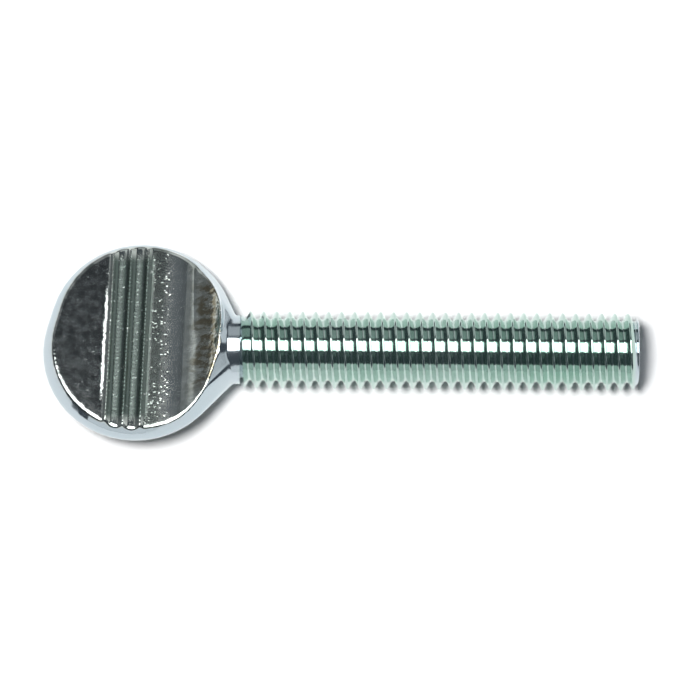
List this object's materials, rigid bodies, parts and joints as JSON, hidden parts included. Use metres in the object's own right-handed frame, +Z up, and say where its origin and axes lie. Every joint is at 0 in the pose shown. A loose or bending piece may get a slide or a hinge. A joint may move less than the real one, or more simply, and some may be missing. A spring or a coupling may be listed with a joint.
{
  "type": "thumb screw",
  "caption": "Spade head thumb screw with a flat dished head, three grip ridges on each face and a fully threaded shank.",
  "frame": {"origin": "on the screw's axis, in the under-head plane that the length is measured from", "axes": "+X along the screw's axis towards its tip, +Z up as the screw lies on a table, with the head rolled about X until its edge touches the table"},
  "size_m": [0.0364, 0.0124, 0.0048],
  "materials": {
    "zinc_plated_steel": "bright zinc plate with a faint green tint"
  },
  "bodies": {
    "root": {"thumb_screw": "zinc_plated_steel"}
  },
  "joints": []
}
